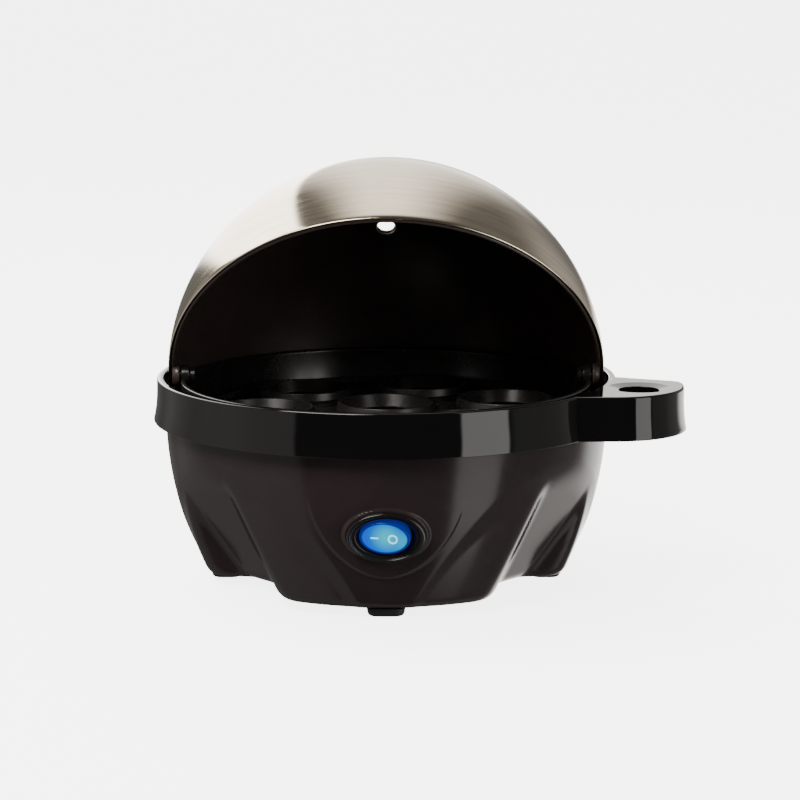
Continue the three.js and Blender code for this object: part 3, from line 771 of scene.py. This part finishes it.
def feet():
    """Each foot is a stack of rounded oblongs that widen from the sole up, and stands a quarter turn further
    round than the last."""
    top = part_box("foot_front")[1].z / MM
    sole = [(0, 0), (5.2, 0), (5.6, 0.05), (6.2, 0.35), (6.55, 0.8), (6.8, 1.6)]
    levels = [(a, max(a - 1, 0), z) for a, z in [*sole, (7, top - 0.1), (6.9, top), (0, top)]]
    x, y, z = np.moveaxis(shifted(oblongs(levels, 0.45, 0.45, 96), y=-FOOT_RING_R), -1, 0)
    for turn, side in enumerate(("front", "right", "rear", "left")):
        c, s = np.cos(turn * np.pi / 2), np.sin(turn * np.pi / 2)
        skin = Skin().grid(np.stack([x * c - y * s, x * s + y * c, z], axis=-1), ring=False)
        made(f"rubber_foot_{side}", skin, "base", foot_rubber, [f"foot_{side}"])


# Inside


def bowl_angle(radius, z):
    """The angle from the pole at which a sphere about the lid's axis has a height."""
    return np.pi / 2 - np.arcsin((z - AXIS_Z) / radius)


def inner_bowl():
    """The bowl, turned: a sphere's wall outside and inside, a rounded rim, and a floor with a hole for the
    plate. Bosses at its sides take the lid's pins, and four pillars under it take the screws."""
    bottom = BOWL_FLOOR - BOWL_WALL
    lift = np.array([0, AXIS_Z])
    outside = ring_arc(BOWL_R, bowl_angle(BOWL_R, bottom), bowl_angle(BOWL_R, BOWL_RIM - 0.4), 30) + lift
    inner_r = BOWL_R - BOWL_WALL
    ends = bowl_angle(inner_r, BOWL_RIM - 0.4), bowl_angle(inner_r, BOWL_FLOOR + 1)
    inside = ring_arc(inner_r, *ends, 30) + lift
    edge = [[BOWL_R - 0.3, BOWL_RIM - 0.1], [BOWL_R - 0.9, BOWL_RIM], [BOWL_R - 1.5, BOWL_RIM - 0.1]]
    floor = [[inside[-1, 0] - 1.6, BOWL_FLOOR + 0.1], [inside[-1, 0] - 3, BOWL_FLOOR]]
    hole = [[BOWL_HOLE_R + 0.2, BOWL_FLOOR], [BOWL_HOLE_R, BOWL_FLOOR - 0.3], [BOWL_HOLE_R, bottom]]
    skin = Skin().grid(turned(np.concatenate([outside, edge, inside, floor, hole])))
    near, far = PIVOT_BOSS
    boss = rounded([(2.2, near, 0.2), (HUB_R - 0.4, near, 0.4), (HUB_R - 0.4, far, 0.3), (2.2, far, 0.2)])
    for side in (-1, 1):
        skin.grid(along_x(turned(boss, 64), side))
    foot, top = PILLAR_FOOT, bottom + 0.5
    pillar = rounded([(1.7, foot, 0.2), (3.5, foot, 0.2), (3.5, top, 0), (1.7, top, 0)])
    for x, y in SCREW_PLACES:
        skin.grid(shifted(turned(pillar, 32), x, y))
    stands_for = ["inner_bowl", *[f"bowl_pillar_{i}" for i in range(1, 5)]]
    return made("bowl_shell", skin, "base", bowl_black, stands_for)


def rod(radius, foot, top, edge):
    """A solid rod's profile, rounded at its foot, with a top that ends inside what it is joined to."""
    return rounded([(0.01, foot, 0), (radius, foot, edge), (radius, top, 0), (0.01, top, 0)])


def heating_plate():
    """The plate's dish and flange, and the two studs under it. Its brush attribute follows circles about the
    axis, with the radius across them."""
    flange = BOWL_FLOOR + 2.3
    profile = rounded(
        [
            (PLATE_DISH_R - 0.5, PLATE_BOTTOM, 2),
            (PLATE_DISH_R, flange, 1),
            (PLATE_R, flange, 0.3),
            (PLATE_R, flange + 1, 0.3),
            (PLATE_DISH_R - 1, flange + 1, 1),
            (PLATE_DISH_R - 2, PLATE_BOTTOM + 1, 1.6),
            (0.01, PLATE_BOTTOM + 1, 0),
            (0.01, PLATE_BOTTOM, 0),
        ],
        steps=8,
    )
    skin = Skin().grid(turned(profile, 192))
    stud = turned(rod(2, STUD_FOOT, PLATE_BOTTOM + 0.5, 0.3), 24)
    for y in (-STUD_Y, STUD_Y):
        skin.grid(shifted(stud, 0, y))
    points = np.concatenate(skin.points)
    brush = brush_round(points, np.hypot(points[:, 0], points[:, 1]) * MM)
    stands_for = ["heating_plate", "plate_stud_1", "plate_stud_2"]
    return made("heated_dish", skin, "base", plate_steel, stands_for, brush)


def egg_tray():
    """A disc with a raised edge, seven seats that are collars with a flared mouth, and four legs."""
    angles = (SEAT_START + 60 * np.arange(6)) * DEG
    ring = np.column_stack([np.sin(angles), -np.cos(angles)]) * SEAT_RING_R
    places = np.concatenate([[[0, 0]], ring])
    top = TRAY_BOTTOM + TRAY_THICK
    holes = [circle(place, SEAT_R - 0.5, 96) for place in places]
    skin = Skin().plate(circle((0, 0), TRAY_R - 1, 240), holes, TRAY_BOTTOM, top)
    rim = [
        (TRAY_R - 2.2, TRAY_BOTTOM, 0.3),
        (TRAY_R, TRAY_BOTTOM, 0.6),
        (TRAY_R, TRAY_BOTTOM + 3.5, 0.5),
        (TRAY_R - 1.5, TRAY_BOTTOM + 3.5, 0.5),
        (TRAY_R - 2.2, top, 0.4),
    ]
    skin.grid(turned(rounded(rim), 240))
    collar = [
        (SEAT_R - 1.5, TRAY_BOTTOM, 0.3),
        (SEAT_R + 2.4, TRAY_BOTTOM, 0),
        (SEAT_R + 2.4, top + 0.4, 0.4),
        (SEAT_R + 1.6, SEAT_TOP, 0.35),
        (SEAT_R + 0.6, SEAT_TOP, 0.35),
    ]
    for x, y in places:
        skin.grid(shifted(turned(rounded(collar), 96), x, y))
    leg = turned(rod(2.2, TRAY_LEG_FOOT, TRAY_BOTTOM + 0.5, 0.6), 24)
    for a in np.array([45, 135, 225, 315]) * DEG:
        skin.grid(shifted(leg, TRAY_LEG_RING_R * np.sin(a), -TRAY_LEG_RING_R * np.cos(a)))
    stands_for = ["egg_tray", *[f"tray_leg_{i}" for i in range(1, 5)]]
    return made("seat_tray", skin, "tray", tray_black, stands_for)


# Switch


def at_switch(points):
    """Points about Z laid on the front wall: their height runs straight out of it and their Y up it."""
    turn = np.pi / 2 + np.arctan(SWITCH_LEAN)
    x, y, z = np.moveaxis(points, -1, 0)
    c, s = np.cos(turn), np.sin(turn)
    return np.stack([x, y * c - z * s - petal_radius(SWITCH_Z), y * s + z * c + SWITCH_Z], axis=-1)


def at_rocker(points):
    """Points about the rocker's own axis, leaned with it, on the front wall."""
    x, y, z = np.moveaxis(points, -1, 0)
    z = z - SWITCH_AXIS
    c, s = np.cos(SWITCH_TILT), np.sin(SWITCH_TILT)
    return at_switch(np.stack([x * c - z * s, y, x * s + z * c + SWITCH_AXIS], axis=-1))


def oval(profile):
    """A profile turned about Z and flattened on Y."""
    return turned(profile, OVAL_SIDES) * [1, SWITCH_OVAL, 1]


def switch_bezel():
    """The ring round the rocker: a skirt in the wall's pocket, a raised lip, and a slope down to the bore."""
    bore = ROCKER_R + 0.7
    profile = rounded(
        [
            (bore, -4, 0.2),
            (12, -4, 0),
            (12, 1.2, 0),
            (BEZEL_R, 1.2, 0.2),
            (BEZEL_R, 2.4, 0.6),
            (BEZEL_R - 1.1, 2.9, 0.6),
            (BEZEL_R - 1.7, 2.2, 0.3),
            (bore + 0.9, 1.9, 0.5),
            (bore, 0.6, 0.5),
        ]
    )
    skin = Skin().grid(at_switch(oval(profile)))
    return made("switch_ring", skin, "base", bezel_black, ["switch_bezel"])


def glow(tree, spot, near, far):
    """A mask that is 1 within near millimetres of a spot of the rocker and fades to 0 at far."""
    place = add(tree, "ShaderNodeTexCoord").outputs["Object"]
    x, y, z = at_rocker(np.array(spot)) * MM
    away = add(tree, "ShaderNodeVectorMath", {0: place, 1: (AXIS_X + x, y, z)}, operation="DISTANCE")
    return mapped(tree, away.outputs["Value"], near * MM, far * MM, 1.0, 0.0, "SMOOTHSTEP")


def lit_cap_finish():
    """A blue cap lit from inside: cyan over the lamp, deeper blue away from it, paler at its right end, and
    navy round its edge and down its side."""
    shader = {"Base_Color": (0.0, 0.01, 0.12, 1), "Roughness": 0.25, "Specular_IOR_Level": 0.3}
    material, tree, surface = blank("lit_blue_cap", Emission_Strength=1.0, **shader)
    colour = mixed(tree, glow(tree, LAMP_SPOT, 0.5, 7.5), (0.0, 0.12, 0.85, 1), (0.0, 0.66, 0.85, 1))
    colour = mixed(tree, glow(tree, (6.5, -1.0, 2.4), 0.5, 6.0), colour, (0.0, 0.48, 0.8, 1))
    out = add(tree, "ShaderNodeAttribute", attribute_name="reach").outputs["Vector"]
    share = add(tree, "ShaderNodeSeparateXYZ", {"Vector": out}).outputs["X"]
    rim = mapped(tree, share, 0.83, 0.91, shape="SMOOTHSTEP")
    colour = mixed(tree, rim, colour, (0.0, 0.012, 0.17, 1))
    tree.links.new(colour, surface.inputs["Emission Color"])
    return material


def lit_marks_finish():
    """Pale print with the light behind it: brighter towards the lamp in the middle of the cap."""
    material, tree, surface = blank("lit_white_marks", Base_Color=(0.3, 0.8, 0.85, 1), Emission_Strength=1.0)
    colour = mixed(tree, glow(tree, LAMP_SPOT, 1.0, 6.0), (0.16, 0.8, 0.95, 1), (0.3, 1.0, 1.0, 1))
    tree.links.new(colour, surface.inputs["Emission Color"])
    return material


lit_cap = lit_cap_finish()
lit_marks = lit_marks_finish()


def switch_rocker():
    """The rocker's clear cap: an oval plug with a rounded edge and a face that dips a little towards its
    middle. Its reach attribute is the share of the way out from its middle to its edge, on X."""
    dip = np.linspace(ROCKER_R - 1.1, 0.01, 12)
    crown = np.column_stack([dip, ROCKER_FACE - 0.35 * (1 - (dip / ROCKER_R) ** 2)])
    side = rounded(
        [
            (0.01, -5.5, 0),
            (ROCKER_R - 1.2, -5.5, 0.6),
            (ROCKER_R, 0, 1),
            (ROCKER_R - 0.15, ROCKER_FACE, 0.55),
            (ROCKER_R - 2, ROCKER_FACE - 0.05, 0),
            (0.01, ROCKER_FACE, 0),
        ]
    )[:-2]
    local = oval(np.concatenate([side, crown]))
    reach = np.hypot(local[..., 0], local[..., 1] / SWITCH_OVAL).ravel() / ROCKER_R
    spread = ("reach", np.column_stack([reach, 0 * reach, 0 * reach]))
    skin = Skin().grid(at_rocker(local))
    return made("lit_cap", skin, "rocker", lit_cap, ["switch_rocker"], spread)


def rocker_marks():
    """The raised marks on the cap's face: a ring at the right and a rounded dash at the left."""
    ring = turned(rounded([(1.15, 0, 0), (1.8, 0, 0), (1.8, 0.3, 0.12), (1.15, 0.3, 0.12)], 3), 64)
    levels = [(0, 0, 0), (1.45, 0.32, 0), (1.45, 0.32, 0.2), (1.35, 0.24, 0.3), (0, 0, 0.3)]
    dash = oblongs(levels, 0.3, 0.8, 48)
    marks = Skin().grid(at_rocker(shifted(ring, 2.9, -0.3, ROCKER_FACE - 0.42)))
    marks.grid(at_rocker(shifted(dash, -3.6, -0.2, ROCKER_FACE - 0.4)), ring=False)
    return made("cap_marks", marks, "rocker", lit_marks)


lid_dome()
lid_liner()
upper_casing()
lower_casing()
cord_gland()
base_plate()
feet()
inner_bowl()
heating_plate()
egg_tray()
switch_bezel()
switch_rocker()
rocker_marks()


def dress(material, *names):
    """Gives carried-over nodes a material: mostly their own finish, and for the steel lid pins a dark plastic
    as painted shade.
    """
    for name in names:
        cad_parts[name].data.materials.clear()
        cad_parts[name].data.materials.append(material)


dress(bright_steel, *[f"base_screw_{i}" for i in range(1, 5)])
# Painted shade: the steel lid pins wear the bowl's black plastic, because they sit in shade inside the lid.
dress(bowl_black, "lid_pin_left", "lid_pin_right")
dress(bright_steel, "heating_element", "plate_bracket")
dress(silicone, "plate_seal")
dress(brass, "bracket_nut_1", "bracket_nut_2", *[f"switch_terminal_{i}" for i in range(1, 4)])
dress(nylon, "thermostat", "thermal_fuse", "terminal_block")
dress(bowl_black, "switch_housing")
dress(lit_marks, "switch_lamp")


# Studio


def floor():
    """A wide pale disc that glows evenly and neither lights the cooker nor shows in it."""
    angle = np.arange(128) / 128 * 2 * np.pi
    spots = np.column_stack([np.cos(angle), np.sin(angle), np.zeros(128)]) * 30
    mesh = bpy.data.meshes.new("floor")
    mesh.from_pydata(spots.tolist(), [], [list(range(128))])
    pale, white = (0.86, 0.86, 0.86, 1), (1, 1, 1, 1)
    glowing = {"Emission_Color": white, "Emission_Strength": 4.5}
    mesh.materials.append(blank("pale_floor", Base_Color=pale, Roughness=0.9, **glowing)[0])
    ground = bpy.data.objects.new("floor", mesh)
    ground.visible_glossy = False
    ground.visible_diffuse = False
    ground.visible_shadow = False
    bpy.context.scene.collection.objects.link(ground)


def softbox(name, direction, distance, width, height, strength, colour=(1, 1, 1)):
    """An area lamp in a direction from the middle of the cooker, facing it."""
    lamp = bpy.data.lights.new(name, "AREA")
    lamp.shape = "RECTANGLE"
    lamp.size, lamp.size_y = width, height
    lamp.energy = strength
    lamp.color = colour
    holder = bpy.data.objects.new(name, lamp)
    bpy.context.scene.collection.objects.link(holder)
    towards = Vector(direction).normalized()
    holder.location = Vector((AXIS_X, 0, 0.08)) + towards * distance
    holder.rotation_euler = towards.to_track_quat("Z", "Y").to_euler()
    return holder


# A lit panel of the room is where several sides overlap. A side, (x, y, z, offset, soft), lets in the
# directions whose part along (x, y, z) is over offset, with an edge that is soft wide.


def right_of(turn, soft):
    """Directions further to the right than a turn in degrees from the front."""
    return (np.cos(turn * DEG), np.sin(turn * DEG), 0, 0, soft)


def left_of(turn, soft):
    """Directions further to the left than a turn in degrees from the front."""
    return (-np.cos(turn * DEG), -np.sin(turn * DEG), 0, 0, soft)


def over(rise, soft):
    """Directions whose Z is over rise."""
    return (0, 0, 1, rise, soft)


def under(rise, soft):
    """Directions whose Z is under rise."""
    return (0, 0, -1, -rise, soft)


def within(left, right, left_soft, right_soft):
    """Directions whose X is between left and right."""
    return [(1, 0, 0, left, left_soft), (-1, 0, 0, -right, right_soft)]


BEHIND = (0, 1, 0, 0.1, 0.2)
SLANTING = [(-0.847, 0.01, -0.532, 0, 0.03), (0.552, 0.14, 0.822, 0, 0.05)]
# Each panel's brightness and its sides.
PANELS = {
    "window": (3.0, [right_of(37, 0.03), left_of(62, 0.03), over(-0.75, 0.5), under(0.5, 0.3)]),
    "right_wall": (0.26, [right_of(64, 0.1), left_of(150, 0.4), under(0.45, 0.3)]),
    "right_back": (2.6, [right_of(128, 0.3), left_of(172, 0.1), under(-0.06, 0.1), over(-0.6, 0.3)]),
    "left_wall": (0.5, [left_of(-45, 0.05), right_of(-92, 0.7), under(0.5, 0.3)]),
    "far_left": (0.2, [left_of(-80, 0.5), right_of(-140, 0.3), under(0.3, 0.3)]),
    "back_left_softbox": (6.0, [*SLANTING, BEHIND]),
    "ceiling": (2.0, [*within(-0.22, 0.24, 0.3, 0.42), over(0.22, 0.2), BEHIND]),
    "back_wall": (1.7, [*within(-0.1, 0.2, 0.1, 0.1), under(0.26, 0.1), over(0.02, 0.1), BEHIND]),
    "back_glow": (0.1, [BEHIND]),
}
DIM_ROOM = 0.07
BACKDROP = 5.5


def room():
    """An even white backdrop for the camera. Surfaces see a dim room with its lit panels."""
    world = bpy.data.worlds.new("room")
    bpy.context.scene.world = world
    world.use_nodes = True
    tree = world.node_tree
    tree.nodes.clear()
    way = add(tree, "ShaderNodeTexCoord").outputs["Generated"]
    level = DIM_ROOM
    for brightness, sides in PANELS.values():
        lit = brightness
        for *normal, offset, soft in sides:
            along = add(tree, "ShaderNodeVectorMath", {0: way, 1: normal}, operation="DOT_PRODUCT")
            limits = offset - soft / 2, offset + soft / 2
            inside = mapped(tree, along.outputs["Value"], *limits, shape="SMOOTHSTEP")
            lit = add(tree, "ShaderNodeMath", {0: inside, 1: lit}, operation="MULTIPLY").outputs[0]
        level = add(tree, "ShaderNodeMath", {0: lit, 1: level}, operation="ADD").outputs[0]
    seen = add(tree, "ShaderNodeBackground", {"Color": (1, 1, 1, 1), "Strength": BACKDROP})
    felt = add(tree, "ShaderNodeBackground", {"Color": (1, 0.97, 0.93, 1), "Strength": level})
    path = add(tree, "ShaderNodeLightPath").outputs["Is Camera Ray"]
    ways = {0: path, 1: felt.outputs["Background"], 2: seen.outputs["Background"]}
    choice = add(tree, "ShaderNodeMixShader", ways)
    add(tree, "ShaderNodeOutputWorld", {"Surface": choice.outputs["Shader"]})


def camera():
    """A long lens a metre away, raised a little, shifted so that the cooker stands just left of the
    middle."""
    lens = bpy.data.cameras.new("camera")
    lens.sensor_width = 36
    lens.lens = 119.2
    lens.shift_x, lens.shift_y = 0.0174, -0.0083
    lens.clip_end = 100
    holder = bpy.data.objects.new("camera", lens)
    bpy.context.scene.collection.objects.link(holder)
    rise = 9.69 * DEG
    towards = Vector((0, -np.cos(rise), np.sin(rise)))
    holder.location = Vector((AXIS_X, 0, 0.07)) + towards
    holder.rotation_euler = towards.to_track_quat("Z", "Y").to_euler()
    bpy.context.scene.camera = holder


floor()
room()
softbox("overhead", (-0.2, 0.35, 1), 1.5, 1.0, 1.0, 12).visible_glossy = False
softbox("high_front", (-0.55, -0.7, 1), 1.6, 1.0, 0.7, 30, (1, 0.95, 0.9))
camera()
